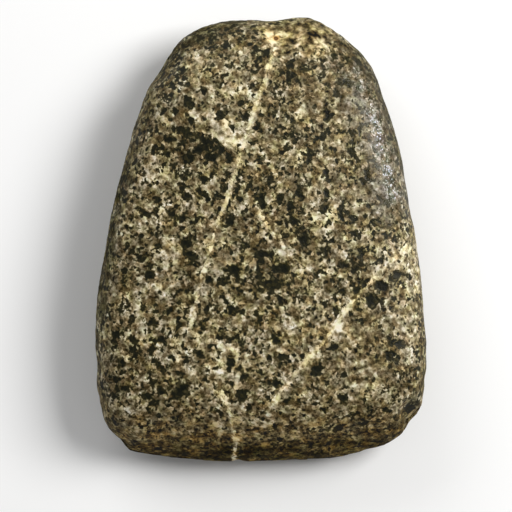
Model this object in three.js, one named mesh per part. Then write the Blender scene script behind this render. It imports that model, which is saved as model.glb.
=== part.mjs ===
// Ground stone adze head, lying on its flatter face.
// Millimetres, +Z up. +Y runs from the cutting edge to the butt, +X to the right as seen from above.
// The origin is the middle of the underside: the centre of the overall length and width, at the resting plane.
import * as THREE from "three";
import { mergeVertices } from "three/addons/utils/BufferGeometryUtils.js";

// ---------------------------------------------------------------- outline, seen from above
const LENGTH = 90; // cutting edge to butt
const WIDTH = 67; // widest, above the cutting edge
const HALF = LENGTH / 2;
// breadth of each side from the long axis at four equal stations, from the cutting edge to the butt
const RIGHT_SIDE = [32.13, 33.04, 28.43, 20.69];
const LEFT_SIDE = [29.24, 33.35, 27.75, 18.34];
const BUTT = { at: 44.61, tilt: -0.009, sag: 0.0016 }; // nearly straight end
const BIT = { at: -44.9, tilt: 0.034, sag: 0.0041 }; // slightly curved cutting edge
const CORNER = { buttRight: 13.74, buttLeft: 14.23, bitRight: 13.64, bitLeft: 6.22 };
// dents (+) and swellings (-) of the rim, which fade inwards: direction in degrees, half width in degrees, depth
const SCAR_FADE = 7;
const RIM_SCARS = [
  [10.96, 3.74, 0.15], // right side, worn hollow
  [30.89, 9.09, -0.28], // right side, full below the shoulder
  [50.98, 4.69, 0.54], // right shoulder, flattened
  [77.79, 4.85, -0.7], // right lobe of the butt
  [87.6, 2.48, 0.4], // notch in the butt
  [110.19, 6.56, -0.54], // left lobe of the butt
  [120.52, 5.29, 0.76], // left shoulder, old flake
  [137.95, 3.18, -0.18],
  [184.04, 11.67, 0.32], // left side, long flat
  [199.27, 3.4, -0.07],
  [217.73, 3.2, 0.4], // left corner, two nibbles
  [220.94, 2.64, -0.43],
  [235.3, 5.11, 0.54],
  [237.84, 2.25, -0.62],
  [264.08, 1.33, 0.38], // nick where the vein meets the cutting edge
  [288.26, 6.36, -0.59], // cutting edge, fuller right of centre
  [297.03, 1.5, 0.19],
  [306.14, 8.94, -1.57], // right corner
  [309.28, 1.88, 0.4], // right corner, chip
  [313.46, 2.4, -0.44],
  [320.03, 1.56, 0.29],
  [329.22, 2.38, -0.17],
];

// ---------------------------------------------------------------- section
const THICK = 22;
const CROWN_Y = 5; // thickest point, towards the butt
const FALL_ACROSS = 1.5; // fall of the upper face at 24 mm from the long axis
const FALL_TO_BUTT = 4.2; // and at the butt
const FALL_TO_BIT = 3.6; // and at the cutting edge
const RIM_Z = { side: 9.6, bit: 5, butt: 9.8 }; // height of the widest outline
const ROLL_TOP = { right: 8.6, left: 8, bit: 12.5, butt: 13 }; // width over which the upper face rolls down
const ROLL_POWER_TOP = { side: 2.6, bit: 1.48, butt: 2.15 };
const ROLL_UNDER = { side: 10, bit: 12.5, butt: 13 };
const ROLL_POWER_UNDER = { side: 2, bit: 1.32, butt: 2 };
const FOOT = { x: 15, y: 22, at: 2 }; // flat spot of the underside
const UNDER_RISE = 0.9;

// ---------------------------------------------------------------- flake scars: centre, half sizes across and along, depth, turn in degrees
const SCOOPS = [
  { at: [5.2, 41.5, 15.5], size: [5.2, 4.6], depth: 0.9, turn: 0, from: "top" }, // battered patch below the butt notch
  { at: [-18.6, 35.6, 14.5], size: [3.6, 7.4], depth: 1.1, turn: -38, from: "top" }, // left shoulder
  { at: [30.6, -35.2, 10.5], size: [3.1, 4.3], depth: 1.5, turn: 28, from: "top" }, // chip at the right corner
  { at: [-26.2, -41.2, 8.5], size: [4.6, 2.2], depth: 0.7, turn: -20, from: "top" }, // nibble at the left corner
  { at: [13.5, 36.5, 5], size: [8.5, 6], depth: 1.1, turn: 15, from: "under" }, // thinning flakes of the underside
  { at: [-9.5, -38.5, 3], size: [7.5, 4.6], depth: 0.8, turn: -8, from: "under" },
  { at: [-25.5, 12, 5], size: [4.5, 9.5], depth: 1.0, turn: 6, from: "under" },
];

// ---------------------------------------------------------------- mesh
const AROUND = 144;
const RINGS_TOP = [0.2, 0.4, 0.57, 0.69, 0.78, 0.85, 0.9, 0.94, 0.97, 0.991];
const RINGS_UNDER = [0.22, 0.42, 0.57, 0.7, 0.81, 0.9, 0.955, 0.989];
const NODE = "adze_head";

const clamp = (v, a, b) => Math.min(b, Math.max(a, v));
const rad = (d) => (d * Math.PI) / 180;

// cubic through four equal stations along the length
function sideAt(y, stations) {
  const t = ((clamp(y, -HALF - 1, HALF + 1) + HALF) / LENGTH) * 3;
  let sum = 0;
  for (let i = 0; i < 4; i++) {
    let w = 1;
    for (let j = 0; j < 4; j++) if (j !== i) w *= (t - j) / (i - j);
    sum += w * stations[i];
  }
  return sum;
}

function corner(a, b, r) {
  const u = a + r,
    v = b + r;
  return u > 0 && v > 0 ? Math.hypot(u, v) - r : Math.max(a, b);
}

// below 0 inside the outline
function outside(x, y) {
  const right = x - sideAt(y, RIGHT_SIDE);
  const left = -x - sideAt(y, LEFT_SIDE);
  const butt = y - (BUTT.at + BUTT.tilt * x - BUTT.sag * x * x);
  const bit = -(y - (BIT.at + BIT.tilt * x + BIT.sag * x * x));
  return Math.max(
    corner(right, butt, CORNER.buttRight),
    corner(left, butt, CORNER.buttLeft),
    corner(right, bit, CORNER.bitRight),
    corner(left, bit, CORNER.bitLeft),
  );
}

function smoothRadius(angle) {
  let low = 5,
    high = 80;
  for (let i = 0; i < 40; i++) {
    const m = (low + high) / 2;
    if (outside(m * Math.cos(angle), m * Math.sin(angle)) < 0) low = m;
    else high = m;
  }
  return (low + high) / 2;
}

// how deep the rim is scarred at one direction
function scarDepth(angle) {
  const d = (angle * 180) / Math.PI;
  let sum = 0;
  for (const [at, width, depth] of RIM_SCARS) {
    const u = ((((d - at + 180) % 360) + 360) % 360) - 180;
    sum += depth * Math.exp(-((u / width) ** 2));
  }
  return sum;
}

// what the section needs at one direction: the rim, how far the rim is from the middle, and the weights of side, bit and butt
function rimAt(angle) {
  const step = rad(2);
  const p = [-1, 1].map((k) => {
    const a = angle + k * step,
      r = smoothRadius(a);
    return [r * Math.cos(a), r * Math.sin(a)];
  });
  const tx = p[1][0] - p[0][0],
    ty = p[1][1] - p[0][1],
    l = Math.hypot(tx, ty);
  const nx = ty / l,
    ny = -tx / l;
  const r = smoothRadius(angle),
    c = Math.cos(angle),
    s = Math.sin(angle);
  const across = nx * nx,
    along = ny * ny;
  const w = { right: nx > 0 ? across : 0, left: nx > 0 ? 0 : across, butt: ny > 0 ? along : 0, bit: ny > 0 ? 0 : along };
  const mixed = (o) =>
    (w.right + w.left) * (o.side ?? 0) +
    w.right * (o.right ?? 0) +
    w.left * (o.left ?? 0) +
    w.butt * (o.butt ?? 0) +
    w.bit * (o.bit ?? 0);
  return {
    c,
    s,
    r,
    scar: scarDepth(angle),
    reach: r * (c * nx + s * ny),
    z: mixed(RIM_Z),
    rollTop: mixed(ROLL_TOP),
    powerTop: mixed(ROLL_POWER_TOP),
    rollUnder: mixed(ROLL_UNDER),
    powerUnder: mixed(ROLL_POWER_UNDER),
  };
}

// 0 at the rim, 1 where the face begins
const roll = (share, power) => (1 - (1 - clamp(share, 0, 1)) ** power) ** (1 / power);

function upperFace(x, y) {
  const v = y - CROWN_Y;
  const fall = v > 0 ? FALL_TO_BUTT * (v / (HALF - CROWN_Y)) ** 2 : FALL_TO_BIT * (v / (HALF + CROWN_Y)) ** 2;
  const swell = 0.16 * Math.sin(x / 7.3 + 0.6) * Math.cos(y / 9.1 - 0.4) + 0.12 * Math.sin(x / 11.7 - y / 6.4 + 1.1);
  return THICK - 0.28 - FALL_ACROSS * (x / 24) ** 2 - fall + swell;
}

function underFace(x, y) {
  const q = Math.hypot(x / FOOT.x, (y - FOOT.at) / FOOT.y);
  return q <= 1 ? 0 : UNDER_RISE * (q - 1) ** 2;
}

function scooped(p, side) {
  for (const s of SCOOPS) {
    if (s.from !== side) continue;
    const dx = p.x - s.at[0],
      dy = p.y - s.at[1],
      c = Math.cos(rad(s.turn)),
      n = Math.sin(rad(s.turn));
    const u = (dx * c + dy * n) / s.size[0],
      v = (-dx * n + dy * c) / s.size[1];
    const q = u * u + v * v;
    if (q >= 1) continue;
    const deep = s.depth * (1 - q) ** 1.5;
    p.z += side === "top" ? -deep * 0.92 : deep * 0.92;
  }
  return p;
}

function pointAt(rim, share, side) {
  const r = rim.r * share - rim.scar * share ** SCAR_FADE,
    x = r * rim.c,
    y = r * rim.s,
    inset = (1 - share) * rim.reach;
  if (side === "top") {
    const z = rim.z + (upperFace(x, y) - rim.z) * roll(inset / rim.rollTop, rim.powerTop);
    const p = scooped(new THREE.Vector3(x, y, z), side);
    p.z = Math.max(p.z, rim.z + 0.02);
    return p;
  }
  const z = rim.z - (rim.z - underFace(x, y)) * roll(inset / rim.rollUnder, rim.powerUnder);
  const p = scooped(new THREE.Vector3(x, y, z), side);
  p.z = Math.min(p.z, rim.z - 0.02);
  return p;
}

// rings from the crown out to the rim and back to the middle of the underside
const rims = Array.from({ length: AROUND }, (_, i) => rimAt((i / AROUND) * Math.PI * 2));
const rings = [
  ...RINGS_TOP.map((share) => rims.map((rim) => pointAt(rim, share, "top"))),
  rims.map((rim) => new THREE.Vector3((rim.r - rim.scar) * rim.c, (rim.r - rim.scar) * rim.s, rim.z)),
  ...[...RINGS_UNDER].reverse().map((share) => rims.map((rim) => pointAt(rim, share, "under"))),
];
const crown = new THREE.Vector3(0, 0, upperFace(0, 0));
const foot = new THREE.Vector3(0, 0, 0);

// brought to the exact overall size, with the origin in the middle of the underside
const every = [crown, foot, ...rings.flat()];
const box = new THREE.Box3().setFromPoints(every);
const span = box.getSize(new THREE.Vector3());
const middle = box.getCenter(new THREE.Vector3());
for (const p of every)
  p.set(((p.x - middle.x) * WIDTH) / span.x, ((p.y - middle.y) * LENGTH) / span.y, (p.z * THICK) / span.z);

const points = [];
const triangle = (a, b, c) => points.push(...a.toArray(), ...b.toArray(), ...c.toArray());
for (let i = 0; i < AROUND; i++) {
  const j = (i + 1) % AROUND;
  triangle(crown, rings[0][i], rings[0][j]);
  for (let k = 0; k + 1 < rings.length; k++) {
    const [a, b, c, d] = [rings[k][i], rings[k + 1][i], rings[k + 1][j], rings[k][j]];
    // the shorter diagonal keeps the facets even
    if (a.distanceTo(c) <= b.distanceTo(d)) {
      triangle(a, b, c);
      triangle(a, c, d);
    } else {
      triangle(a, b, d);
      triangle(b, c, d);
    }
  }
  const last = rings[rings.length - 1];
  triangle(last[i], foot, last[j]);
}

const soup = new THREE.BufferGeometry();
soup.setAttribute("position", new THREE.Float32BufferAttribute(points, 3));
const geometry = mergeVertices(soup, 1e-4);
geometry.computeVertexNormals();

const stone = new THREE.MeshStandardMaterial({ color: 0x7b7259, roughness: 0.5, metalness: 0 });
const head = new THREE.Mesh(geometry, stone);
head.name = NODE;

const adze = new THREE.Group();
adze.add(head);
export default adze;
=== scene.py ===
"""Ground stone adze head of a speckled, medium-grained rock, lying on its flatter face on a pale floor, seen from straight above."""

import math

import bpy
import numpy as np
from mathutils import Euler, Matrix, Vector


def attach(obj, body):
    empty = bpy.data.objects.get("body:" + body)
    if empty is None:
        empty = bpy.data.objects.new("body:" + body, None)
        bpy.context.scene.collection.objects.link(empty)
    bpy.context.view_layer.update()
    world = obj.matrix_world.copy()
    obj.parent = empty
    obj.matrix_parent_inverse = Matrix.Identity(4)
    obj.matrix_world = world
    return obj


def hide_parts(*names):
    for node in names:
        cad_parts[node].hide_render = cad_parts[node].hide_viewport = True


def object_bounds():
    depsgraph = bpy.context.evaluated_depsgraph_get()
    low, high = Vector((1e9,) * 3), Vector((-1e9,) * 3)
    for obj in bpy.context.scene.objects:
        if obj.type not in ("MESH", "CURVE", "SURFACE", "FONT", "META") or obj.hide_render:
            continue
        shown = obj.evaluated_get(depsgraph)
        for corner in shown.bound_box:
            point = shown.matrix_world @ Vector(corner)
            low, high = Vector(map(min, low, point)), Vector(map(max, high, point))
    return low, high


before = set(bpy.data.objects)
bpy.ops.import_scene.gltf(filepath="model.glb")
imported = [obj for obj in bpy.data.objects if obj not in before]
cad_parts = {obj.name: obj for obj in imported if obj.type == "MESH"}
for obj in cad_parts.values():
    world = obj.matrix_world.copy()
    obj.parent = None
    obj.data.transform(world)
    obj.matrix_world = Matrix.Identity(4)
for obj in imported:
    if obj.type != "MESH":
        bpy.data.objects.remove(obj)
cad_low, cad_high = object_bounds()
MM = 0.001

# ---------------------------------------------------------------- the photograph's frame, in its own pixels
PX = 0.20238  # millimetres to a pixel at the rim
CENTRE = (260.884, 240.126)  # the pixel over the origin


def at(px, py):
    """Plan position in millimetres of a pixel of the photograph's frame."""
    return (px - CENTRE[0]) * PX, (CENTRE[1] - py) * PX


# ---------------------------------------------------------------- form: the same named sizes as the solid
LENGTH, WIDTH, THICK = 90.0, 67.0, 22.0
HALF = LENGTH / 2
RIGHT_SIDE = (32.13, 33.04, 28.43, 20.69)
LEFT_SIDE = (29.24, 33.35, 27.75, 18.34)
BUTT = (44.61, -0.009, 0.0016)
BIT = (-44.9, 0.034, 0.0041)
CORNER = dict(butt_right=13.74, butt_left=14.23, bit_right=13.64, bit_left=6.22)
SCAR_FADE = 7
RIM_SCARS = [
    (10.96, 3.74, 0.15), (30.89, 9.09, -0.28), (50.98, 4.69, 0.54), (77.79, 4.85, -0.7), (87.6, 2.48, 0.4),
    (110.19, 6.56, -0.54), (120.52, 5.29, 0.76), (137.95, 3.18, -0.18), (184.04, 11.67, 0.32), (199.27, 3.4, -0.07),
    (217.73, 3.2, 0.4), (220.94, 2.64, -0.43), (235.3, 5.11, 0.54), (237.84, 2.25, -0.62), (264.08, 1.33, 0.38),
    (288.26, 6.36, -0.59), (297.03, 1.5, 0.19), (306.14, 8.94, -1.57), (309.28, 1.88, 0.4), (313.46, 2.4, -0.44),
    (320.03, 1.56, 0.29), (329.22, 2.38, -0.17),
]
CROWN_Y = 5.0
FALL_ACROSS, FALL_TO_BUTT, FALL_TO_BIT = 1.5, 4.2, 3.6
RIM_Z = dict(side=9.6, bit=5.0, butt=9.8)
ROLL_TOP = dict(right=8.6, left=8.0, bit=12.5, butt=13.0)
ROLL_POWER_TOP = dict(side=2.6, bit=1.48, butt=2.15)
ROLL_UNDER = dict(side=10.0, bit=12.5, butt=13.0)
ROLL_POWER_UNDER = dict(side=2.0, bit=1.32, butt=2.0)
FOOT_X, FOOT_Y, FOOT_AT = 15.0, 22.0, 2.0
UNDER_RISE = 0.9
SCOOPS = [  # centre x, y; half sizes; depth; turn; upper face
    (5.2, 41.5, 5.2, 4.6, 0.9, 0, True),
    (-18.6, 35.6, 3.6, 7.4, 1.1, -38, True),
    (30.6, -35.2, 3.1, 4.3, 1.5, 28, True),
    (-26.2, -41.2, 4.6, 2.2, 0.7, -20, True),
    (13.5, 36.5, 8.5, 6.0, 1.1, 15, False),
    (-9.5, -38.5, 7.5, 4.6, 0.8, -8, False),
    (-25.5, 12.0, 4.5, 9.5, 1.0, 6, False),
]
# dark olive along the rim, round the stone: painted shade and green reflection, partly patina, strongest on the left
# and at the cutting edge; direction in degrees, width in millimetres, strength
RIM_SHADE_AND_PATINA = [
    (0, 0.4, 0.15), (25, 0.8, 0.4), (45, 2.2, 0.6), (65, 3.0, 0.6), (80, 3.0, 0.4), (90, 3.0, 0.45), (102, 3.4, 0.7),
    (122, 4.2, 0.42), (145, 3.4, 0.45), (165, 2.8, 0.8), (195, 2.8, 0.8), (215, 2.4, 0.3), (235, 3.0, 0.2), (255, 4.2, 0.65),
    (285, 4.2, 0.65), (305, 3.0, 0.4), (318, 2.6, 0.4), (328, 1.2, 0.3), (345, 0.4, 0.15), (360, 0.4, 0.15),
]


def side_at(y, stations):
    t = (np.clip(y, -HALF - 1, HALF + 1) + HALF) / LENGTH * 3
    total = 0.0
    for i in range(4):
        w = 1.0
        for j in range(4):
            if j != i:
                w = w * (t - j) / (i - j)
        total = total + w * stations[i]
    return total


def corner(a, b, r):
    u, v = a + r, b + r
    return np.where((u > 0) & (v > 0), np.hypot(u, v) - r, np.maximum(a, b))


def outside(x, y):
    right = x - side_at(y, RIGHT_SIDE)
    left = -x - side_at(y, LEFT_SIDE)
    butt = y - (BUTT[0] + BUTT[1] * x - BUTT[2] * x * x)
    bit = -(y - (BIT[0] + BIT[1] * x + BIT[2] * x * x))
    return np.maximum.reduce([
        corner(right, butt, CORNER["butt_right"]), corner(left, butt, CORNER["butt_left"]),
        corner(right, bit, CORNER["bit_right"]), corner(left, bit, CORNER["bit_left"]),
    ])


def smooth_radius(angle):
    low, high = np.full_like(angle, 5.0), np.full_like(angle, 80.0)
    for _ in range(40):
        m = (low + high) / 2
        inside = outside(m * np.cos(angle), m * np.sin(angle)) < 0
        low, high = np.where(inside, m, low), np.where(inside, high, m)
    return (low + high) / 2


def scar_depth(angle):
    d = np.degrees(angle)
    total = np.zeros_like(d)
    for centre, width, depth in RIM_SCARS:
        u = (d - centre + 180) % 360 - 180
        total += depth * np.exp(-((u / width) ** 2))
    return total


def rims_at(angle):
    """Everything that the section needs, at each direction."""
    step = math.radians(2)
    ra, rb = smooth_radius(angle - step), smooth_radius(angle + step)
    tx = rb * np.cos(angle + step) - ra * np.cos(angle - step)
    ty = rb * np.sin(angle + step) - ra * np.sin(angle - step)
    size = np.hypot(tx, ty)
    nx, ny = ty / size, -tx / size
    r, c, s = smooth_radius(angle), np.cos(angle), np.sin(angle)
    across, along = nx * nx, ny * ny
    w = dict(right=np.where(nx > 0, across, 0), left=np.where(nx > 0, 0, across),
             butt=np.where(ny > 0, along, 0), bit=np.where(ny > 0, 0, along))

    def mixed(o):
        return ((w["right"] + w["left"]) * o.get("side", 0) + w["right"] * o.get("right", 0)
                + w["left"] * o.get("left", 0) + w["butt"] * o.get("butt", 0) + w["bit"] * o.get("bit", 0))

    return dict(c=c, s=s, r=r, nx=nx, ny=ny, scar=scar_depth(angle), reach=r * (c * nx + s * ny), z=mixed(RIM_Z),
                roll_top=mixed(ROLL_TOP), power_top=mixed(ROLL_POWER_TOP),
                roll_under=mixed(ROLL_UNDER), power_under=mixed(ROLL_POWER_UNDER))


def roll(share, power):
    return (1 - (1 - np.clip(share, 0, 1)) ** power) ** (1 / power)


def upper_face(x, y):
    v = y - CROWN_Y
    fall = np.where(v > 0, FALL_TO_BUTT * (v / (HALF - CROWN_Y)) ** 2, FALL_TO_BIT * (v / (HALF + CROWN_Y)) ** 2)
    swell = 0.16 * np.sin(x / 7.3 + 0.6) * np.cos(y / 9.1 - 0.4) + 0.12 * np.sin(x / 11.7 - y / 6.4 + 1.1)
    return THICK - 0.28 - FALL_ACROSS * (x / 24) ** 2 - fall + swell


def under_face(x, y):
    q = np.hypot(x / FOOT_X, (y - FOOT_AT) / FOOT_Y)
    return np.where(q <= 1, 0, UNDER_RISE * (q - 1) ** 2)


def scoop(x, y, top):
    total = np.zeros_like(x)
    for cx, cy, sx, sy, depth, turn, upper in SCOOPS:
        if upper is not top:
            continue
        c, n = math.cos(math.radians(turn)), math.sin(math.radians(turn))
        dx, dy = x - cx, y - cy
        q = ((dx * c + dy * n) / sx) ** 2 + ((-dx * n + dy * c) / sy) ** 2
        total += np.where(q < 1, depth * 0.92 * (1 - np.minimum(q, 1)) ** 1.5, 0)
    return total


def surface(rim, share, top):
    """Points of one ring (share of the way to the rim) of the upper or the under side."""
    r = rim["r"] * share - rim["scar"] * share**SCAR_FADE
    x, y, inset = r * rim["c"], r * rim["s"], (1 - share) * rim["reach"]
    if top:
        z = rim["z"] + (upper_face(x, y) - rim["z"]) * roll(inset / rim["roll_top"], rim["power_top"])
        z = np.maximum(z - scoop(x, y, True), rim["z"] + (0.02 if share < 1 else 0))
    else:
        z = rim["z"] - (rim["z"] - under_face(x, y)) * roll(inset / rim["roll_under"], rim["power_under"])
        z = np.minimum(z + scoop(x, y, False), rim["z"] - (0.02 if share < 1 else 0))
    return np.stack([x, y, z], -1)


# ---------------------------------------------------------------- fine mesh: rings of even triangles
STEP = 0.385  # spacing of the points in millimetres
fine_angle = np.linspace(0, 2 * math.pi, 1441)
fine_rim = rims_at(fine_angle)
fine_r = fine_rim["r"] - fine_rim["scar"]
fine_x, fine_y = fine_r * np.cos(fine_angle), fine_r * np.sin(fine_angle)
walk = np.concatenate([[0], np.cumsum(np.hypot(np.diff(fine_x), np.diff(fine_y)))])
AROUND_MM = walk[-1]


def rings_of(top):
    """Shares whose rings are evenly spaced over the surface, and the way over the surface from the middle to each ring at each direction."""
    v = np.linspace(1, 0, 401)
    shares = 1 - v**2
    stack = np.stack([surface(fine_rim, s, top) for s in shares])
    way = np.concatenate([np.zeros((1, stack.shape[1])), np.cumsum(np.linalg.norm(np.diff(stack, axis=0), axis=-1), axis=0)])
    mean = way.mean(1)
    count = int(round(mean[-1] / (STEP * 0.9)))
    even = np.interp(np.linspace(0, mean[-1], count + 1), mean, shares)
    return even, shares, way


def ring(share, top, n, phase):
    a = np.interp(((np.arange(n) + phase) % n) / n * AROUND_MM, walk, fine_angle)
    return a, surface({key: np.interp(a, fine_angle, v) for key, v in fine_rim.items()} | {"c": np.cos(a), "s": np.sin(a)}, share, top)


def stitch(tri, a0, na, angle_a, b0, nb, angle_b, flip):
    """Triangles between two rings with different numbers of points."""
    i = j = 0
    # both rings start at their smallest angle
    sa, sb = int(np.argmin(angle_a)), int(np.argmin(angle_b))
    A = np.concatenate([np.roll(angle_a, -sa), [angle_a[sa] + 2 * math.pi]])
    B = np.concatenate([np.roll(angle_b, -sb), [angle_b[sb] + 2 * math.pi]])
    while i < na or j < nb:
        if j >= nb or (i < na and A[i + 1] + A[i] <= B[j + 1] + B[j]):
            t = (a0 + (sa + i) % na, b0 + (sb + j) % nb, a0 + (sa + i + 1) % na)
            i += 1
        else:
            t = (a0 + (sa + i) % na, b0 + (sb + j) % nb, b0 + (sb + j + 1) % nb)
            j += 1
        tri.append(t[::-1] if flip else t)


def build():
    points, angles, ways, tops, triangles = [], [], [], [], []
    total = 0
    rim_ring = None
    for top in (True, False):
        even, shares, way = rings_of(top)
        last = None
        for k, share in enumerate(even):
            if k == 0:
                p = surface({key: v[:1] for key, v in fine_rim.items()}, 0.0, top)
                a = np.zeros(1)
                n = 1
            elif k == len(even) - 1 and rim_ring is not None:
                start, n, a = rim_ring
                stitch(triangles, last[0], last[1], last[2], start, n, a, not top)
                continue
            else:
                n = max(8, int(round(AROUND_MM * share / STEP)))
                a, p = ring(share, top, n, 0.5 * (k % 2) if k < len(even) - 1 else 0.0)
            start = total
            points.append(p)
            angles.append(a)
            # the way from the middle, for the unrolled map
            place = np.interp(share, shares, np.arange(len(shares)))
            before = min(int(place), len(shares) - 2)
            row = way[before] + (way[before + 1] - way[before]) * (place - before)
            ways.append(np.interp(a, fine_angle, row))
            tops.append(np.full(n, 1 if top else 0))
            total += n
            if k == len(even) - 1:
                rim_ring = (start, n, a)
            if k == 1:
                for i in range(n):
                    t = (last[0], start + i, start + (i + 1) % n)
                    triangles.append(t if top else t[::-1])
            elif k > 1:
                stitch(triangles, last[0], last[1], last[2], start, n, a, not top)
            last = (start, n, a)
    # the way to the rim on the under side, for the shared ring
    even, shares, way = rings_of(False)
    start, n, a = rim_ring
    under_way = np.interp(a, fine_angle, way[-1])
    return (np.concatenate(points), np.concatenate(angles), np.concatenate(ways), np.concatenate(tops),
            np.array(triangles, np.int64), (start, n, under_way))


P, ANGLE, WAY, TOP, TRI, (RIM_START, RIM_COUNT, UNDER_WAY) = build()
low, high = P.min(0), P.max(0)
scale = np.array([WIDTH, LENGTH, THICK]) / (high - np.array([low[0], low[1], 0]))
P = (P - np.array([(low[0] + high[0]) / 2, (low[1] + high[1]) / 2, 0])) * scale


def normals_of(p, tri):
    n = np.cross(p[tri[:, 1]] - p[tri[:, 0]], p[tri[:, 2]] - p[tri[:, 0]])
    out = np.zeros_like(p)
    for k in range(3):
        np.add.at(out, tri[:, k], n)
    return out / np.linalg.norm(out, axis=1, keepdims=True)


N = normals_of(P, TRI)
if N[TOP == 1, 2].mean() < 0:  # faces point outwards
    TRI = TRI[:, ::-1]
    N = -N


# ---------------------------------------------------------------- noise on the vertices
def _tables(seed):
    rng = np.random.default_rng(seed)
    grad = rng.normal(size=(256, 3))
    return rng.permutation(256), grad / np.linalg.norm(grad, axis=1, keepdims=True)


TURN = (0.61, 0.43, 0.87)  # the noise's own axes, leaning to every face, so that no straight rows show
TURNED = np.array(Euler(TURN).to_matrix()).T


def perlin(p, size, seed):
    """Smooth noise from about -1 to 1 with features of about that size."""
    perm, grad = _tables(seed)
    q = p @ TURNED / size + seed * 7.31
    i = np.floor(q).astype(int)
    f = q - i
    u = f * f * f * (f * (f * 6 - 15) + 10)
    total = np.zeros(len(p))
    for cx in (0, 1):
        for cy in (0, 1):
            for cz in (0, 1):
                h = perm[(perm[(perm[(i[:, 0] + cx) & 255] + i[:, 1] + cy) & 255] + i[:, 2] + cz) & 255]
                dot = ((f - (cx, cy, cz)) * grad[h]).sum(1)
                w = (u[:, 0] if cx else 1 - u[:, 0]) * (u[:, 1] if cy else 1 - u[:, 1]) * (u[:, 2] if cz else 1 - u[:, 2])
                total += w * dot
    return total * 1.6


def crystals(p, cell, seed, least, most, chance, stretch=0.35):
    """How deep (mm) each point lies in the nearest of a scatter of lumpy crystals through the body of the stone. chance is the share of cells that hold one, at each point."""
    rng = np.random.default_rng(seed)
    table = rng.random((4096, 8))
    q = p / cell
    base = np.floor(q).astype(int)
    best = np.full(len(p), -9.0)
    for dx in (-1, 0, 1):
        for dy in (-1, 0, 1):
            for dz in (-1, 0, 1):
                c = base + (dx, dy, dz)
                h = ((c[:, 0] * 73856093) ^ (c[:, 1] * 19349663) ^ (c[:, 2] * 83492791) ^ (seed * 2654435761)) & 0xFFFFFFFF
                h = (h ^ (h >> 13)) * 1274126177 & 0xFFFFFFFF
                t = table[(h ^ (h >> 16)) & 4095]
                centre = (c + 0.5 + (t[:, :3] - 0.5) * 0.9) * cell
                r = least + (most - least) * t[:, 3] ** 1.5
                d = p - centre
                turn = t[:, 4] * math.pi
                u = d[:, 0] * np.cos(turn) + d[:, 1] * np.sin(turn)
                v = -d[:, 0] * np.sin(turn) + d[:, 1] * np.cos(turn)
                k = 1 + stretch * t[:, 5]
                depth = r - np.sqrt((u / k) ** 2 + (v * k) ** 2 + d[:, 2] ** 2)
                depth = np.where(t[:, 6] < chance, depth, -9.0)
                best = np.maximum(best, depth)
    return best


# ---------------------------------------------------------------- landmarks of the upper face
# veins: points in the frame's pixels, half width in millimetres, strength
VEINS = [
    ([(275, 50), (272, 60), (269, 68), (266, 77)], 0.27, 1.05),
    ([(266, 77), (263, 90), (258, 101), (254, 114), (250, 127), (246, 140)], 0.27, 1.05),
    ([(246, 140), (242, 152), (239, 165), (234, 177), (231, 189), (227, 203),
      (222, 214), (217, 228), (213, 242), (209, 256), (204, 272), (200, 287), (196, 300), (193, 321)], 0.26, 0.95),
    ([(193, 321), (189, 330), (186, 343)], 0.15, 0.5),
    ([(211, 338), (219, 342), (226, 346), (236, 350)], 0.38, 1.15),
    ([(236, 350), (237, 361), (238, 373), (236, 385), (230, 396)], 0.18, 0.5),
    ([(222, 389), (228, 404), (231, 417), (233, 428), (236, 440), (234, 452), (234, 466)], 0.38, 1.25),
    ([(190, 114), (206, 127), (221, 141), (233, 153), (242, 162)], 0.16, 0.55),
    ([(260, 214), (269, 228), (277, 239), (285, 250), (293, 261)], 0.24, 0.9),
    ([(406, 245), (396, 256), (388, 263), (378, 273), (369, 282), (358, 294), (348, 306)], 0.2, 0.8),
    ([(348, 306), (340, 317), (333, 326), (325, 338), (316, 348), (308, 357), (300, 366)], 0.38, 1.0),
    ([(300, 366), (292, 376), (284, 386), (275, 398)], 0.26, 0.7),
    ([(172, 350), (179, 357), (185, 366)], 0.3, 0.8),
    ([(185, 366), (200, 377), (214, 389), (222, 394)], 0.18, 0.6),
]
HAIRLINES = [  # fine cracks, a little sunk, with a painted highlight along them
    ([(214, 306), (240, 303), (262, 304), (285, 305), (306, 305)], 0.12),
    ([(318, 301), (328, 298), (340, 295)], 0.12),
    ([(352, 318), (366, 312), (376, 300)], 0.1),
    ([(338, 350), (350, 363), (360, 377)], 0.1),
    ([(298, 262), (306, 267), (314, 272)], 0.12),
]
# light patches: centre, half sizes in pixels, strength
PATCHES = [
    (265, 26, 5, 6, 1.4), (269, 34, 5, 6, 1.5), (274, 41, 6, 7, 1.4), (294, 44, 18, 12, 0.5), (312, 35, 15, 9, 0.4), (222, 141, 16, 9, 0.6), (243, 137, 11, 10, 0.3), (281, 250, 12, 10, 0.15),
    (226, 345, 10, 6, 0.6), (222, 371, 3.2, 3.2, 1.9), (193, 311, 3, 12, 0.7), (222, 393, 9, 8, 0.6), (193, 372, 12, 9, 0.25), (337, 325, 5, 6, 0.35),
    # (412, 290) and (405, 225) are long strips along the right rim: painted light on the side that faces the key light
    (308, 362, 9, 8, 0.5), (412, 290, 9, 60, 0.55), (405, 225, 6, 36, 0.4), (388, 168, 7, 5, 0.7), (206, 250, 7, 14, 0.4), (190, 120, 12, 9, 0.3),
    (348, 75, 9, 7, 0.3), (330, 225, 16, 20, 0.25), (150, 330, 14, 14, 0.2),
]
HIGHLIGHT_PATH = [(352, 76), (361, 92), (368, 106), (373, 121), (377, 136), (379, 150), (382, 163), (387, 180), (391, 198)]  # middle of the painted highlight streak and sheen on the right shoulder
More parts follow.
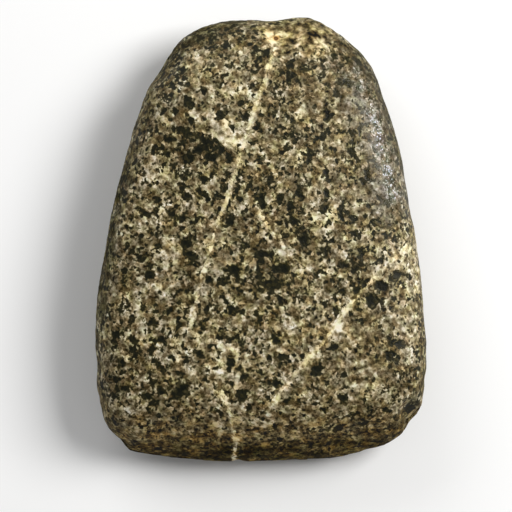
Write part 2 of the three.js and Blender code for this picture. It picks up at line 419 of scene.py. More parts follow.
# broad tones of the upper face: centre, half sizes in pixels, turn in degrees, light (+) or dark (-)
TONES = [
    (222, 42, 34, 12, 8, -0.7), (338, 56, 14, 14, -40, -0.6), (262, 62, 12, 8, 0, -0.5), (300, 72, 20, 9, 0, -0.4),
    (205, 150, 36, 16, -12, -0.6), (250, 382, 58, 7, 0, -0.5), (322, 384, 34, 7, 0, -0.4), (200, 432, 60, 14, 0, 0.35), (300, 424, 50, 12, 0, 0.3), (297, 210, 12, 22, 12, -0.8), (270, 272, 20, 14, 8, -1.0), (352, 262, 14, 8, 20, -0.7),
    (364, 291, 12, 10, 40, -0.9), (384, 352, 14, 18, 10, -0.7), (168, 381, 20, 11, 12, -0.8), (121, 382, 13, 14, 0, -0.9),
    (263, 314, 14, 12, 0, -0.6), (262, 70, 12, 22, 12, -0.7), (184, 120, 14, 22, 24, -0.5), (240, 384, 9, 12, 0, -0.5),
    (128, 270, 12, 22, 6, -0.4), (316, 138, 16, 14, 20, -0.5), (190, 246, 9, 12, 0, -0.6), (318, 372, 16, 12, 0, -0.5),
    (222, 132, 30, 9, -34, 1.0), (236, 88, 14, 14, 0, 0.7), (161, 178, 18, 9, 8, 0.7), (171, 258, 14, 11, 0, 0.5),
    (212, 232, 8, 26, 14, 0.8), (398, 268, 17, 12, -30, 0.7), (402, 320, 12, 18, 0, 0.8), (316, 306, 12, 8, 0, 0.5),
    (290, 380, 13, 10, 30, 0.6), (326, 226, 16, 18, 0, 0.5), (284, 250, 11, 9, 30, 0.7), (140, 316, 16, 14, 0, 0.5),
    (336, 332, 12, 9, 45, 0.6), (185, 88, 12, 10, 0, 0.4), (352, 208, 14, 16, 0, 0.3), (150, 222, 12, 12, 0, 0.4),
]
# calmer brown-grey areas: centre, half sizes in pixels, turn in degrees, strength
CALM = [
    (322, 106, 34, 26, 20, 0.7), (362, 350, 34, 30, 0, 0.75), (300, 330, 22, 14, 0, 0.4), (150, 300, 22, 12, 0, 0.3), (330, 196, 40, 14, 10, 0.35),
]
# separate dark crystals: centre, half sizes in pixels, turn in degrees
DARKS = [
    (189, 104, 6.0, 7.5, 20), (177, 113, 4.5, 4, 0), (192, 122, 3.6, 3.2, 0), (183, 73, 4.6, 4.2, 0), (205, 93, 4, 6, 20),
    (247, 119, 5, 6, 30), (266, 55, 5, 5, 0), (253, 88, 4, 3.4, 0), (271, 84, 3.6, 3.2, 0), (172, 141, 9, 4, 12),
    (190, 137, 7, 4.5, -10), (208, 143, 9, 5, -15), (222, 151, 5, 7, 30), (189, 160, 7, 7, 30), (214, 158, 11, 4.5, 5),
    (187, 197, 6.5, 5.5, -20), (171, 212, 3.6, 3.8, 0), (184, 219, 4.2, 4.4, 0), (220, 211, 3.9, 4.6, -10), (231, 222, 5, 4.8, 0),
    (238, 188, 3.8, 3.6, 0), (241, 201, 5.5, 5, 20), (262, 199, 5, 11, 8), (205, 181, 5, 4, 0), (187, 244, 6.5, 6.5, 0),
    (191, 254, 6, 4.5, -20), (211, 279, 4.6, 4.6, 0), (225, 282, 4, 3.6, 0), (234, 270, 6.5, 6, -30), (267, 254, 8, 5, 10),
    (283, 268, 7.5, 5.5, -10), (271, 283, 9.5, 6.5, 0), (281, 300, 5.5, 5, 30), (303, 240, 6.5, 8, 0), (322, 209, 6, 5.5, 0),
    (294, 221, 7, 5, 0), (347, 85, 6, 5, -15), (357, 88, 3.6, 5.6, 10), (335, 95, 3.8, 5.6, 15), (329, 118, 6.5, 4.6, -10),
    (318, 140, 9, 3.4, 0), (309, 158, 5, 7.5, 20), (344, 265, 7, 4, -10), (323, 303, 6.5, 2.8, -25), (334, 309, 7, 3.4, -15),
    (341, 291, 4.6, 4.6, 0), (380, 286, 7.5, 6, -40), (370, 300, 6, 9, 30), (396, 274, 6.5, 4.2, 20), (398, 343, 8, 4.6, -15),
    (395, 360, 3.6, 3.8, 0), (333, 346, 6, 5, 0), (316, 369, 6.5, 6.5, 0), (231, 361, 5, 8, 0), (201, 352, 3.6, 6.5, 0),
    (116, 334, 5, 4.6, 0), (137, 353, 5, 4.5, 0), (164, 338, 5, 4.8, 0), (155, 381, 6.5, 3.8, 20), (180, 390, 12, 6, 30),
    (150, 275, 6, 5, 0), (242, 394, 6, 8, 0), (276, 381, 6, 5, 0), (118, 379, 5, 4, 0), (127, 387, 5.5, 4.5, 20),
    (180, 131, 5, 4, 0), (199, 151, 7, 5, 20), (231, 161, 5, 4.4, 0), (178, 151, 6, 4, -20), (229, 157, 5, 4, 20),
    (169, 155, 5, 4, 0), (411, 409, 6, 7, 30), (262, 262, 6, 4, 20), (258, 276, 5, 4, 0), (290, 283, 5, 4, 0), (276, 268, 5, 4, 0), (299, 196, 5, 8, 10),
    (290, 207, 5, 5, 0), (354, 268, 6, 4, 30), (360, 282, 5, 4, 0), (388, 354, 6, 6, 0), (180, 372, 6, 4, 0), (162, 390, 6, 4, 10),
]


def to_lines(p, line, shear=0.22, sided=False):
    """Distance in millimetres from each point to a vein, which runs through the stone as a leaning sheet."""
    x = p[:, 0] + (p[:, 2] - 18.0) * shear
    y = p[:, 1]
    best = np.full(len(p), 99.0)
    side = np.ones(len(p))
    past = np.zeros(len(p))
    pts = [at(*q) for q in line]
    for k, ((ax, ay), (bx, by)) in enumerate(zip(pts[:-1], pts[1:])):
        dx, dy = bx - ax, by - ay
        full = math.hypot(dx, dy)
        t = ((x - ax) * dx + (y - ay) * dy) / full ** 2
        over = np.maximum(-t if k == 0 else 0.0, (t - 1) if k == len(pts) - 2 else 0.0) * full
        t = np.clip(t, 0, 1)
        d = np.hypot(x - ax - t * dx, y - ay - t * dy)
        nearer = d < best
        side = np.where(nearer, np.where(dx * (y - ay) - dy * (x - ax) < 0, -1.0, 1.0), side)
        past = np.where(nearer, np.maximum(over, 0.0), past)
        best = np.minimum(best, d)
    return (best, side, past) if sided else best


def smooth(a, b, x):
    t = np.clip((x - a) / (b - a), 0, 1)
    return t * t * (3 - 2 * t)


warp = np.stack([perlin(P, 1.3, 11), perlin(P, 1.3, 12), perlin(P, 1.3, 13)], -1) * 0.34 \
    + np.stack([perlin(P, 0.7, 14), perlin(P, 0.7, 15), perlin(P, 0.7, 16)], -1) * 0.14
Q = P + warp

vein_d = np.full(len(P), 4.0)  # how far the nearest vein is, past its half width, and how strong it is there
vein_s = np.zeros(len(P))
vein_x = np.full(len(P), 4.0)  # across the vein, with its side
vein_w = np.full(len(P), 0.2)
gap = np.clip(0.84 + 0.30 * perlin(P, 2.6, 21) + 0.36 * perlin(P, 1.0, 22), 0.3, 1.15)
swell = np.clip(1.0 + 0.7 * perlin(P, 1.7, 24) + 0.4 * perlin(P, 4.0, 25), 0.35, 1.7)
for points, half, strength in VEINS:
    d, side, past = to_lines(Q * 0.5 + P * 0.5, points, 0.0, True)
    half = half * swell
    d = d - half
    nearer = d < vein_d
    vein_s = np.where(nearer, strength * gap * smooth(1.7, 1.1, d) * smooth(0.5, 0.1, past), vein_s)
    vein_x = np.where(nearer, (d + half) * side, vein_x)
    vein_w = np.where(nearer, half, vein_w)
    vein_d = np.minimum(vein_d, d)
vein = vein_s * smooth(0.35, -0.05, vein_d)
hair = np.full(len(P), 99.0)
for points, half in HAIRLINES:
    hair = np.minimum(hair, to_lines(P + warp * 0.3, points, 0.0) - half)
hair[TOP == 0] = 9.0

patch = np.zeros(len(P))
upper = smooth(8.0, 11.0, P[:, 2]) * (TOP == 1)
for px, py, sx, sy, strength in PATCHES:
    x, y = at(px, py)
    q = np.hypot((Q[:, 0] - x) / (sx * PX), (Q[:, 1] - y) / (sy * PX))
    patch = np.maximum(patch, strength * smooth(1.25, 0.45, q) * upper)

cluster = perlin(P, 5.2, 31) * 0.6 + perlin(P, 2.6, 32) * 0.5  # where the dark crystals crowd
tones = np.zeros(len(P))
for px, py, sx, sy, turn, strength in TONES:
    x, y = at(px, py)
    c, s = math.cos(math.radians(turn)), math.sin(math.radians(turn))
    dx, dy = Q[:, 0] + warp[:, 1] * 1.5 - x, Q[:, 1] + warp[:, 2] * 1.5 - y
    q = np.hypot((dx * c + dy * s) / (sx * PX), (-dx * s + dy * c) / (sy * PX))
    tones -= strength * smooth(1.5, 0.2, q) * upper
cluster = cluster * (1 - 0.45 * upper) + tones * 0.85
calm = smooth(-25.5, -34.0, P[:, 1]) * 0.32 * (TOP == 1)  # where few dark crystals show: brown mottling instead
for px, py, sx, sy, turn, strength in CALM:
    x, y = at(px, py)
    c, s = math.cos(math.radians(turn)), math.sin(math.radians(turn))
    dx, dy = Q[:, 0] + warp[:, 2] * 2 - x, Q[:, 1] + warp[:, 0] * 2 - y
    calm = np.maximum(calm, strength * smooth(1.4, 0.5, np.hypot((dx * c + dy * s) / (sx * PX), (-dx * s + dy * c) / (sy * PX))) * upper)
chance = np.clip(0.51 - 0.5 * calm + 0.62 * cluster - 0.5 * patch - 0.35 * vein, 0.02, 0.95)
dark = crystals(Q, 1.9, 5, 0.45, 1.0, chance * 0.85)
dark = np.maximum(dark, crystals(Q, 1.05, 6, 0.26, 0.5, chance * 1.15))
dark = np.maximum(dark, crystals(Q + warp, 0.8, 7, 0.16, 0.36, chance * 1.1))
for px, py, sx, sy, turn in DARKS:
    x, y = at(px, py)
    c, s = math.cos(math.radians(turn)), math.sin(math.radians(turn))
    dx, dy = Q[:, 0] - x, Q[:, 1] - y
    u, v = (dx * c + dy * s) / (sx * PX), (-dx * s + dy * c) / (sy * PX)
    depth = (0.92 - np.hypot(u, v)) * min(sx, sy) * PX * 1.2
    dark = np.maximum(dark, np.where(upper > 0.3, depth, -9.0))
dark = dark - 0.9 * smooth(0.2, 0.6, vein)
tx, ty = at(301, 38)
tan_zone = smooth(1.3, 0.3, np.hypot((Q[:, 0] - tx) / 8.0, (Q[:, 1] - ty) / 3.6)) * (TOP == 1)
dark = dark - 0.62 * tan_zone
dark = np.clip(dark - 0.12 * calm, -1.2, 1.0)

# ---------------------------------------------------------------- relief, along the normal, in millimetres
flank = 1 - np.abs(N[:, 2])
end = smooth(28, 44, np.abs(P[:, 1]))
relief = 0.16 * perlin(P, 13.0, 41) + 0.07 * perlin(P, 5.5, 42) + 0.028 * perlin(P, 2.2, 43)
pecked = smooth(0.25, 0.8, flank) * 0.7 + 0.5 * end * (TOP == 0) + 0.25 * end  # rougher where it was never polished
relief += pecked * (0.11 * perlin(P, 1.9, 44) + 0.055 * perlin(P, 1.0, 45))
relief += -0.05 * smooth(-0.1, 0.35, dark)  # the dark crystals weather a little below the rest
relief += 0.035 * np.clip(vein, 0, 1)
relief += -0.10 * smooth(0.22, -0.05, hair)
pits = crystals(P, 3.4, 9, 0.1, 0.55, np.full(len(P), 0.5))
relief += -(0.14 + 0.12 * pecked) * smooth(0.0, 0.42, pits)
relief += 0.012 * perlin(P, 0.8, 46)


def nick(px, py, sx, sy, turn, depth, edge=0.85, top_only=True):
    """A small flake scar with a crisp lip."""
    x, y = at(px, py)
    c, s = math.cos(math.radians(turn)), math.sin(math.radians(turn))
    dx, dy = P[:, 0] - x + warp[:, 0] * 0.7, P[:, 1] - y + warp[:, 1] * 0.7
    q = np.hypot((dx * c + dy * s) / sx, (-dx * s + dy * c) / sy)
    w = smooth(1.0, edge, q) * (1 - 0.45 * np.minimum(q, 1) ** 2)
    return depth * w * (upper_only if top_only else 1)


upper_only = ((TOP == 1) & (P[:, 2] > 3)).astype(float)
relief -= nick(283, 37, 3.6, 3.0, 0, 0.35)
relief -= nick(276, 39, 0.45, 0.45, 0, 0.3, 0.3)
relief -= nick(411, 412, 2.3, 3.0, 30, 0.55)
relief -= nick(404, 424, 1.8, 1.6, 0, 0.35)
relief -= nick(128, 447, 3.0, 1.3, -28, 0.35)
relief -= nick(150, 456, 2.6, 0.9, -8, 0.25)
relief -= nick(186, 459, 2.0, 0.8, 0, 0.2)
relief -= nick(262, 461, 1.8, 0.8, 0, 0.22)
relief -= nick(318, 459, 2.4, 0.8, 4, 0.22)
relief -= nick(358, 452, 2.2, 1.0, 14, 0.25)
relief -= nick(233, 20, 3.2, 1.0, 8, 0.25)
relief -= nick(168, 66, 2.4, 4.0, -38, 0.3)

foot = np.hypot(P[:, 0] / FOOT_X, (P[:, 1] - FOOT_AT) / FOOT_Y)
on_foot = (TOP == 0) & (N[:, 2] < -0.5)
relief = np.where(on_foot, np.minimum(relief, 0.0) * smooth(0.75, 1.1, foot) - 0.03 * smooth(0.0, 0.3, dark) * smooth(1.1, 0.8, foot), relief)
V = P + N * relief[:, None]
V[:, 2] = np.maximum(V[:, 2], 0.0)
# stay in the solid's box
V[:, 0] = np.clip(V[:, 0], cad_low[0] / MM, cad_high[0] / MM)
V[:, 1] = np.clip(V[:, 1], cad_low[1] / MM, cad_high[1] / MM)
V[:, 2] = np.minimum(V[:, 2], cad_high[2] / MM)

# ---------------------------------------------------------------- the piece
mesh = bpy.data.meshes.new("adze_stone")
mesh.vertices.add(len(V))
mesh.vertices.foreach_set("co", (V * MM).astype(np.float32).ravel())
mesh.loops.add(len(TRI) * 3)
mesh.loops.foreach_set("vertex_index", TRI.astype(np.int32).ravel())
mesh.polygons.add(len(TRI))
mesh.polygons.foreach_set("loop_start", (np.arange(len(TRI)) * 3).astype(np.int32))
mesh.polygons.foreach_set("loop_total", np.full(len(TRI), 3, np.int32))
mesh.update(calc_edges=True)
mesh.validate()
mesh.polygons.foreach_set("use_smooth", np.ones(len(mesh.polygons), bool))

# unrolled map: each side is laid out by the way over the surface from its middle
mapped = mesh.uv_layers.new(name="OFBake")
face_top = np.ones(len(TRI), bool)
face_top[np.any(TOP[TRI] == 0, axis=1)] = False
way = np.broadcast_to(WAY[TRI], TRI.shape).copy()
under_rim = np.interp(np.arange(RIM_COUNT), np.arange(RIM_COUNT), UNDER_WAY)
is_rim = (TRI >= RIM_START) & (TRI < RIM_START + RIM_COUNT)
way = np.where(is_rim & ~face_top[:, None], under_rim[np.clip(TRI - RIM_START, 0, RIM_COUNT - 1)], way)
ang = ANGLE[TRI]
ux, uy = way * np.cos(ang), way * np.sin(ang)
span_top = [np.abs(ux[face_top]).max(), np.abs(uy[face_top]).max()]
span_under = [np.abs(ux[~face_top]).max(), np.abs(uy[~face_top]).max()]
SPLIT, EDGE = 0.57, 0.006
u_top = EDGE + (SPLIT - 2 * EDGE) * (ux / span_top[0] + 1) / 2
u_under = SPLIT + EDGE + (1 - SPLIT - 2 * EDGE) * (1 - ux / span_under[0]) / 2
v_top = EDGE + (1 - 2 * EDGE) * (uy / span_top[1] + 1) / 2
v_under = EDGE + (1 - 2 * EDGE) * (uy / span_under[1] + 1) / 2
uv = np.stack([np.where(face_top[:, None], u_top, u_under), np.where(face_top[:, None], v_top, v_under)], -1)
mapped.data.foreach_set("uv", uv.astype(np.float32).ravel())


def store(name, values):
    a = mesh.attributes.new(name, "FLOAT", "POINT")
    a.data.foreach_set("value", np.asarray(values, np.float32))


# the flanks and the ends are dark olive: painted shade and green reflection, partly olive-brown patina, most of all on
# the left and at the cutting edge
inner = -outside(P[:, 0], P[:, 1])
way_round = np.degrees(np.arctan2(P[:, 1], P[:, 0])) % 360
rim_table = np.array(RIM_SHADE_AND_PATINA)
rim_wide = np.interp(way_round, rim_table[:, 0], rim_table[:, 1])
rim_strong = np.interp(way_round, rim_table[:, 0], rim_table[:, 2])
ragged = 0.55 * perlin(P, 3.2, 52) + 0.4 * perlin(P, 1.3, 53)
rim_shade_and_patina = rim_strong * smooth(1.25, 0.35, inner / rim_wide + ragged * 0.6) * np.clip(0.9 + 0.8 * perlin(P, 3.0, 54), 0.25, 1.45)
# painted shade on the under side, darker on its sloping flanks
under = (TOP == 0) * (0.35 * smooth(0.0, 0.5, flank) + 0.12)
shade_and_patina = np.clip(np.where(TOP == 1, rim_shade_and_patina, np.maximum(rim_shade_and_patina * 0.8, under)) + 0.08 * perlin(P, 4.0, 51), 0, 1)
bevel_shade_and_stain = smooth(-31.0, -42.5, P[:, 1] + 0.8 * ragged)  # painted shade and a brown stain towards the cutting edge: darker and browner
store("dark", dark)
store("raw", np.clip(pecked, 0, 1))
store("vein_x", vein_x)
store("vein_w", vein_w)
store("vein_s", vein_s)
store("patch", patch)
store("cluster", cluster + 0.35 * calm)
store("hair", np.clip(hair, -1, 1))
store("shade_and_patina", shade_and_patina)
store("bevel_shade_and_stain", bevel_shade_and_stain)
rx, ry = at(276, 39)
store("rust", np.where(upper_only > 0, np.minimum(np.hypot(P[:, 0] - rx, (P[:, 1] - ry) * 1.3), 3.0), 3.0))
tan = np.zeros(len(P))
for px, py, sx, sy, strength in ((270, 35, 2.6, 3.4, 1.0), (301, 38, 8.0, 3.6, 1.0)):
    tx, ty = at(px, py)
    tan = np.maximum(tan, strength * smooth(1.3, 0.3, np.hypot((Q[:, 0] - tx) / sx, (Q[:, 1] - ty) / sy)) * upper_only)
store("tan", tan)
# the right shoulder: a painted grey-blue sheen over the colour, and a glossier finish (lower roughness)
highlight_way = to_lines(P, HIGHLIGHT_PATH, 0.0)
sheen_and_gloss = np.maximum(smooth(4.2, 0.8, highlight_way + 1.1 * ragged), 0.55 * smooth(7.5, 3.0, highlight_way + 1.6 * ragged)) * upper
store("sheen_and_gloss", sheen_and_gloss)
# a painted highlight streak down the shoulder, fainter towards the butt
store("highlight_streak", smooth(2.3, 0.2, highlight_way + 0.9 * ragged) * upper * (1 - 0.6 * smooth(23.5, 30.0, P[:, 1])))

stone = bpy.data.objects.new("adze_stone", mesh)
bpy.context.scene.collection.objects.link(stone)

# ---------------------------------------------------------------- material
mat = bpy.data.materials.new("speckled_stone")
mat.use_nodes = True
nt = mat.node_tree
nt.nodes.clear()


class S:
    """A socket that arithmetic can be written with."""

    def __init__(self, socket):
        self.s = socket

    @staticmethod
    def math(op, *args, clamp=False):
        n = nt.nodes.new("ShaderNodeMath")
        n.operation, n.use_clamp = op, clamp
        for k, a in enumerate(args):
            if isinstance(a, S):
                nt.links.new(a.s, n.inputs[k])
            else:
                n.inputs[k].default_value = a
        return S(n.outputs[0])

    def __add__(self, o): return S.math("ADD", self, o)
    def __radd__(self, o): return S.math("ADD", o, self)
    def __sub__(self, o): return S.math("SUBTRACT", self, o)
    def __rsub__(self, o): return S.math("SUBTRACT", o, self)
    def __mul__(self, o): return S.math("MULTIPLY", self, o)
    def __rmul__(self, o): return S.math("MULTIPLY", o, self)


def step(a, b, x):
    """0 below a, 1 above b, smooth between (or the other way round when a is over b)."""
    n = nt.nodes.new("ShaderNodeMapRange")
    n.interpolation_type = "SMOOTHSTEP"
    lo, hi, out = (a, b, (0.0, 1.0)) if a < b else (b, a, (1.0, 0.0))
    nt.links.new(x.s, n.inputs["Value"])
    n.inputs["From Min"].default_value, n.inputs["From Max"].default_value = lo, hi
    n.inputs["To Min"].default_value, n.inputs["To Max"].default_value = out
    return S(n.outputs["Result"])


def attribute(name):
    n = nt.nodes.new("ShaderNodeAttribute")
    n.attribute_name = name
    return S(n.outputs["Fac"])


def vec(op, a, b=None, scale=None):
    n = nt.nodes.new("ShaderNodeVectorMath")
    n.operation = op
    nt.links.new(a, n.inputs[0])
    if b is not None:
        if isinstance(b, tuple):
            n.inputs[1].default_value = b
        else:
            nt.links.new(b, n.inputs[1])
    if scale is not None:
        n.inputs["Scale"].default_value = scale
    return n.outputs[0]


coords = nt.nodes.new("ShaderNodeTexCoord").outputs["Object"]
turned = nt.nodes.new("ShaderNodeVectorRotate")
turned.rotation_type = "EULER_XYZ"
turned.inputs["Rotation"].default_value = TURN
nt.links.new(vec("SCALE", coords, scale=1000.0), turned.inputs["Vector"])
mm = turned.outputs["Vector"]


def noise(size, detail=1.0, rough=0.5, offset=0.0, at_=None, color=False):
    """Noise centred on 0, features of about that many millimetres."""
    n = nt.nodes.new("ShaderNodeTexNoise")
    v = vec("ADD", at_ or mm, (offset, offset * 0.7, -offset * 1.3))
    nt.links.new(v, n.inputs["Vector"])
    n.inputs["Scale"].default_value = 1.0 / size
    n.inputs["Detail"].default_value = detail
    n.inputs["Roughness"].default_value = rough
    if color:
        return n.outputs["Color"]
    return S(n.outputs["Fac"]) - 0.5


def voronoi(size, feature="F1", offset=0.0, at_=None, out="Distance", random=1.0, soft=0.0):
    n = nt.nodes.new("ShaderNodeTexVoronoi")
    n.feature = feature
    v = vec("ADD", at_ or mm, (offset, -offset * 0.6, offset * 1.7))
    nt.links.new(v, n.inputs["Vector"])
    n.inputs["Scale"].default_value = 1.0 / size
    n.inputs["Randomness"].default_value = random
    if soft:
        n.inputs["Smoothness"].default_value = soft
    return n.outputs[out]


# the coordinates bent a little, so that no cell keeps straight sides
bend = vec("SCALE", vec("SUBTRACT", noise(0.8, 1.0, offset=3.1, color=True), (0.5, 0.5, 0.5)), scale=0.85)
bent = vec("ADD", mm, bend)

dark_in = attribute("dark")
vein_d = S.math("ABSOLUTE", attribute("vein_x")) - attribute("vein_w")
vein_s = attribute("vein_s")
patch_in = attribute("patch")
cluster_in = attribute("cluster")
hair_in = attribute("hair")
shade_and_patina_in = attribute("shade_and_patina")
rust_in = attribute("rust")
tan_in = attribute("tan")

bevel_shade_and_stain_in = attribute("bevel_shade_and_stain")
sheen_and_gloss_in = attribute("sheen_and_gloss")
highlight_streak_in = attribute("highlight_streak")
raw_in = attribute("raw")

fine = noise(0.34, 1.0, offset=9.0)
mid = noise(0.95, 1.0, 0.5, offset=17.0)
lump = noise(1.9, 1.0, 0.5, offset=23.0)
broad = noise(7.0, 1.0, 0.5, offset=31.0)
clump = noise(2.0, 2.0, 0.58, offset=71.0)  # ragged dark clumps between and round the crystals
net = S(voronoi(1.05, "DISTANCE_TO_EDGE", 5.0, bent))  # a network of light threads round small darker cells
net2 = S(voronoi(0.66, "DISTANCE_TO_EDGE", 12.0, bent))
threads = step(0.34, 0.0, net)
threads2 = step(0.34, 0.0, net2)
frayed = vec("ADD", mm, vec("SCALE", vec("SUBTRACT", noise(0.55, 0.5, offset=7.7, color=True), (0.5, 0.5, 0.5)), scale=0.60))


def tone_of(size, offset, soft=0.0):
    """Every small crystal has its own tone, from -0.5 to 0.5."""
    n = nt.nodes.new("ShaderNodeVectorMath")
    n.operation = "DOT_PRODUCT"
    nt.links.new(voronoi(size, "SMOOTH_F1" if soft else "F1", offset, frayed, "Color", soft=soft), n.inputs[0])
    n.inputs[1].default_value = (1.0, 0.0, 0.0)
    return S(n.outputs["Value"]) - 0.5


cell = tone_of(0.72, 4.4, 0.22) * 1.2
cell2 = tone_of(1.25, 14.4)

light_in = patch_in * 0.10 + tan_in * 0.12 + vein_s * step(0.6, 0.0, vein_d) * 0.05
grain = step(-0.21, 0.21, dark_in + 0.085 + fine * 0.26 + mid * 1.1 + lump * 1.2 - cell * 0.24 - threads * 0.18)
halo = step(-0.46, -0.16, dark_in + mid * 0.8)  # pale rims round the dark crystals
dusk = step(-0.06, 0.11, clump + cluster_in * 0.08 + fine * 0.06 + sheen_and_gloss_in * 0.03 - light_in - cell * 0.03 - cell2 * 0.04)
small = step(0.04, 0.19, noise(0.62, 0.0, offset=41.0) + cluster_in * 0.04)  # small dark specks in the pale ground
curl = step(0.055, 0.0, S.math("ABSOLUTE", noise(1.15, 0.8, 0.5, offset=37.0, at_=frayed))) * step(-0.10, 0.06, noise(2.4, 0.0, offset=47.0))  # thin curling pale lines
spark = step(0.20, 0.28, noise(0.5, 0.0, offset=53.0))
vein_core = step(0.10, -0.12, vein_d + fine * 0.8 + mid * 0.55 - cell * 0.30) * vein_s
vein_halo = step(1.0, 0.0, vein_d) * vein_s
patch = step(0.15, 0.95, patch_in + mid * 0.9 + lump * 0.9) * patch_in

# brightness on the photograph's scale, 0 to 255
T = 139.0 + mid * 196.0 + lump * 366.0 + broad * 120.0 + fine * 10.0 - cluster_in * 44.0
T = T + threads * 18.0 + threads2 * 4.0 + cell * 28.0 + curl * 40.0 + cell2 * 56.0 + halo * 10.0
T = T + patch * patch_in * 30.0 + vein_core * 20.0 + vein_halo * 6.0
T = T - small * 48.0 * (1.0 - vein_core * 0.5)
# the painted shoulder sheen greys and darkens the ground here; the tan stain darkens it too
T = T + spark * 14.0 - sheen_and_gloss_in * 34.0 - tan_in * (34.0 - lump * 90.0)
speck = step(0.30, 0.46, cell)
dusk_T = 60.0 + curl * 34.0 + fine * 44.0 + mid * 110.0 + lump * 60.0 + threads * 34.0 + threads2 * 12.0 + cell * 44.0 + speck * 44.0
deep = step(0.22, 0.75, dark_in)  # the middles of the big crystals are plain and blackest
dark_T = 14.0 + fine * 34.0 + mid * 38.0 + (threads * 16.0 + speck * 44.0) * (1.0 - deep * 0.4) - deep * 6.0
blend_T = T + (dusk_T - T) * (dusk * 0.92)
blend_T = blend_T + (dark_T - blend_T) * (grain * 0.96)
# the veins run over everything else, and so does the painted highlight along the fine cracks
blend_T = blend_T + (218.0 + mid * 170.0 + fine * 130.0 + cell * 96.0 - blend_T) * (vein_core * (0.56 + step(-0.34, 0.10, cell + fine * 1.4) * 0.34))
# a painted highlight along the fine cracks
blend_T = blend_T + step(0.12, 0.0, hair_in) * 34.0
# towards the cutting edge, under its painted shade and brown stain, the stone is finely flecked
blend_T = blend_T + (fine * 110.0 + cell * 46.0 + curl * 20.0 + mid * 60.0 - 7.0) * (bevel_shade_and_stain_in * (1.0 - vein_core))
# the painted rim shade and patina dull the grains
blend_T = blend_T + (90.0 + mid * 80.0 + fine * 60.0 - blend_T) * (shade_and_patina_in * 0.4 * (1.0 - vein_core))
# painted sheen on the right shoulder: lower contrast and greyer, with painted glints and a painted highlight streak
painted_glint = step(0.10, 0.26, noise(0.36, 0.0, offset=83.0))
blend_T = blend_T + (84.0 + fine * 130.0 + mid * 90.0 + cell * 30.0 - blend_T) * (sheen_and_gloss_in * 0.55)
blend_T = blend_T + painted_glint * (sheen_and_gloss_in * 34.0 + highlight_streak_in * 100.0) + highlight_streak_in * (42.0 + mid * 90.0)


def channel(c):
    c /= 255
    return c / 12.92 if c <= 0.04045 else ((c + 0.055) / 1.055) ** 2.4


GAIN = 1.14  # light on the upper face, against a surface's own colour
STOPS = [
    (8, (7, 6, 1)), (22, (23, 20, 7)), (36, (41, 36, 14)), (54, (63, 54, 29)), (68, (77, 68, 43)), (80, (91, 80, 55)),
    (92, (102, 92, 67)), (105, (115, 105, 78)), (119, (129, 119, 90)), (134, (145, 134, 104)), (154, (166, 154, 121)),
    (189, (202, 190, 160)), (225, (230, 220, 190)), (250, (246, 240, 220)),
]
ramp = nt.nodes.new("ShaderNodeValToRGB")
ramp.color_ramp.interpolation = "LINEAR"
while len(ramp.color_ramp.elements) < len(STOPS):
    ramp.color_ramp.elements.new(0.5)
for e, (place, rgb) in zip(ramp.color_ramp.elements, STOPS):
    e.position = place / 255
    e.color = [channel(c) / GAIN for c in rgb] + [1]
nt.links.new((blend_T * (1 / 255)).s, ramp.inputs["Fac"])


def mix(a, b, factor, kind="MIX"):
    n = nt.nodes.new("ShaderNodeMix")
    n.data_type, n.blend_type = "RGBA", kind
    n.clamp_factor = True
    for socket, v in ((n.inputs[6], a), (n.inputs[7], b)):
        if isinstance(v, tuple):
            socket.default_value = (*v, 1)
        else:
            nt.links.new(v, socket)
    if isinstance(factor, S):
        nt.links.new(factor.s, n.inputs[0])
    else:
        n.inputs[0].default_value = factor
    return n.outputs[2]


color = ramp.outputs["Color"]
hue = noise(1.5, 1.0, 0.6, offset=61.0)
sallow = noise(2.6, 1.5, 0.55, offset=91.0)
over_vein = 1.0 - vein_core * 1.0  # the veins are kept clear of the rim's painted shade and patina and of the bevel's painted shade and stain
color = mix(color, (1.03, 0.98, 0.94), step(0.02, 0.16, hue), "MULTIPLY")  # pinkish grains
color = mix(color, (0.95, 1.0, 0.91), step(-0.02, -0.16, hue), "MULTIPLY")  # greenish grains
color = mix(color, (1.02, 1.0, 0.84), step(-0.02, 0.16, sallow), "MULTIPLY")  # yellower where it is stained
color = mix(color, (0.98, 1.0, 1.10), step(-0.02, -0.16, sallow), "MULTIPLY")
color = mix(color, (1.07, 0.98, 0.88), dusk * (1.0 - grain), "MULTIPLY")  # brown ground between the crystals
color = mix(color, (0.93, 1.0, 0.84), grain * 0.85, "MULTIPLY")
color = mix(color, (0.0115, 0.0145, 0.0100), grain * 0.38 * (1.0 - bevel_shade_and_stain_in))  # the dark crystals are cold, greenish away from the cutting edge
color = mix(color, (0.985, 0.995, 1.045), 1.0, "MULTIPLY")  # the whole stone is a little grey
color = mix(color, (1.02, 1.01, 0.86), vein_core * 0.9, "MULTIPLY")  # creamy veins
color = mix(color, (1.04, 0.94, 0.74), tan_in, "MULTIPLY")
# painted blue-white reflection over the shoulder sheen and the highlight streak
color = mix(color, (0.92, 0.99, 1.30), sheen_and_gloss_in * 0.9, "MULTIPLY")
color = mix(color, (0.95, 1.0, 1.16), highlight_streak_in, "MULTIPLY")
color = mix(color, (1.0, 0.78, 0.52), step(1.0, 0.6, rust_in + fine * 0.4), "MULTIPLY")  # an orange ring round the pit
color = mix(color, (0.13, 0.08, 0.06), step(0.64, 0.42, rust_in) * 0.95, "MULTIPLY")
# towards the cutting edge: browner grains, then a painted shade that darkens and browns the colour
color = mix(color, (1.10, 0.97, 0.82), bevel_shade_and_stain_in * step(-0.04, 0.12, sallow + mid * 0.3), "MULTIPLY")
color = mix(color, (0.61, 0.51, 0.25), bevel_shade_and_stain_in * 0.9 * over_vein, "MULTIPLY")
# painted dark olive shade and green reflection along the rim, partly patina
color = mix(color, (0.15, 0.175, 0.05), shade_and_patina_in * 0.95 * over_vein, "MULTIPLY")

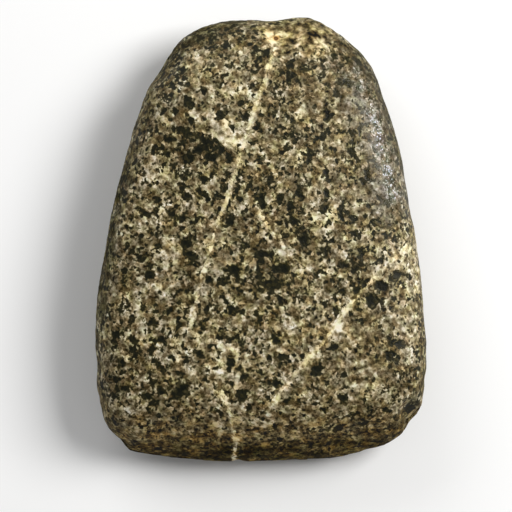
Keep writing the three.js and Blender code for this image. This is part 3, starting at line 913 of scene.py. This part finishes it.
# finish: the dark crystals take the better polish
rough = 0.50 - grain * 0.10 + shade_and_patina_in * 0.42 + raw_in * 0.2 + bevel_shade_and_stain_in * 0.15 + mid * 0.25 + fine * 0.25 - sheen_and_gloss_in * (step(-0.2, 0.3, cell) * 0.12 + 0.22)
height = threads * 0.25 + mid * 1.0 + fine * 0.8 + cell * 0.5 - grain * 0.5
bump = nt.nodes.new("ShaderNodeBump")
bump.inputs["Strength"].default_value = 0.45
bump.inputs["Distance"].default_value = 0.00011
nt.links.new(height.s, bump.inputs["Height"])

bsdf = nt.nodes.new("ShaderNodeBsdfPrincipled")
bsdf.inputs["Specular IOR Level"].default_value = 0.12
nt.links.new(color, bsdf.inputs["Base Color"])
nt.links.new(S.math("MAXIMUM", rough, 0.16).s, bsdf.inputs["Roughness"])
nt.links.new(bump.outputs["Normal"], bsdf.inputs["Normal"])
out = nt.nodes.new("ShaderNodeOutputMaterial")
nt.links.new(bsdf.outputs["BSDF"], out.inputs["Surface"])
mesh.materials.append(mat)

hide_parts("adze_head")
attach(stone, "root")

# ---------------------------------------------------------------- floor, light and camera
floor_mesh = bpy.data.meshes.new("floor")
floor_mesh.from_pydata([(-1.5, -1.5, 0), (1.5, -1.5, 0), (1.5, 1.5, 0), (-1.5, 1.5, 0)], [], [(0, 1, 2, 3)])
floor = bpy.data.objects.new("floor", floor_mesh)
bpy.context.scene.collection.objects.link(floor)
pale = bpy.data.materials.new("pale_floor")
pale.use_nodes = True
pale.node_tree.nodes["Principled BSDF"].inputs["Base Color"].default_value = (0.90, 0.92, 0.975, 1)
pale.node_tree.nodes["Principled BSDF"].inputs["Roughness"].default_value = 0.9
floor_mesh.materials.append(pale)
floor.location.z = -0.0002

world = bpy.data.worlds.new("studio")
bpy.context.scene.world = world
world.use_nodes = True
world.node_tree.nodes["Background"].inputs["Color"].default_value = (1.0, 0.98, 0.92, 1)
world.node_tree.nodes["Background"].inputs["Strength"].default_value = 0.25


def softbox(name, place, size, watts, tint=(1, 1, 1)):
    data = bpy.data.lights.new(name, "AREA")
    data.shape, data.size, data.size_y = "RECTANGLE", size[0], size[1]
    data.energy, data.color = watts, tint
    o = bpy.data.objects.new(name, data)
    o.location = place
    o.rotation_euler = (Vector((0, 0, 0.01)) - Vector(place)).to_track_quat("-Z", "Y").to_euler()
    bpy.context.scene.collection.objects.link(o)
    return o


softbox("key", (0.44, 0.20, 0.50), (0.34, 0.34), 5.0, (1.0, 0.975, 0.91))
softbox("fill", (-0.38, 0.64, 0.46), (0.7, 0.4), 2.9, (1.0, 0.98, 0.93))

camera = bpy.data.cameras.new("camera")
camera.sensor_width = 36.0
camera.sensor_fit = "HORIZONTAL"
cam_x, cam_y = at(256, 256)
HEIGHT = 0.80
camera.lens = 36.0 * HEIGHT / (512 * PX * MM)
camera.clip_end = 10
cam = bpy.data.objects.new("camera", camera)
cam.location = (cam_x * MM, cam_y * MM, HEIGHT + 0.009)
cam.rotation_euler = (0, 0, 0)
bpy.context.scene.collection.objects.link(cam)
bpy.context.scene.camera = cam

bpy.context.scene.view_settings.view_transform = "Standard"
bpy.context.scene.view_settings.look = "None"
bpy.context.scene.view_settings.exposure = 0.0
bpy.context.scene.view_settings.gamma = 1.0
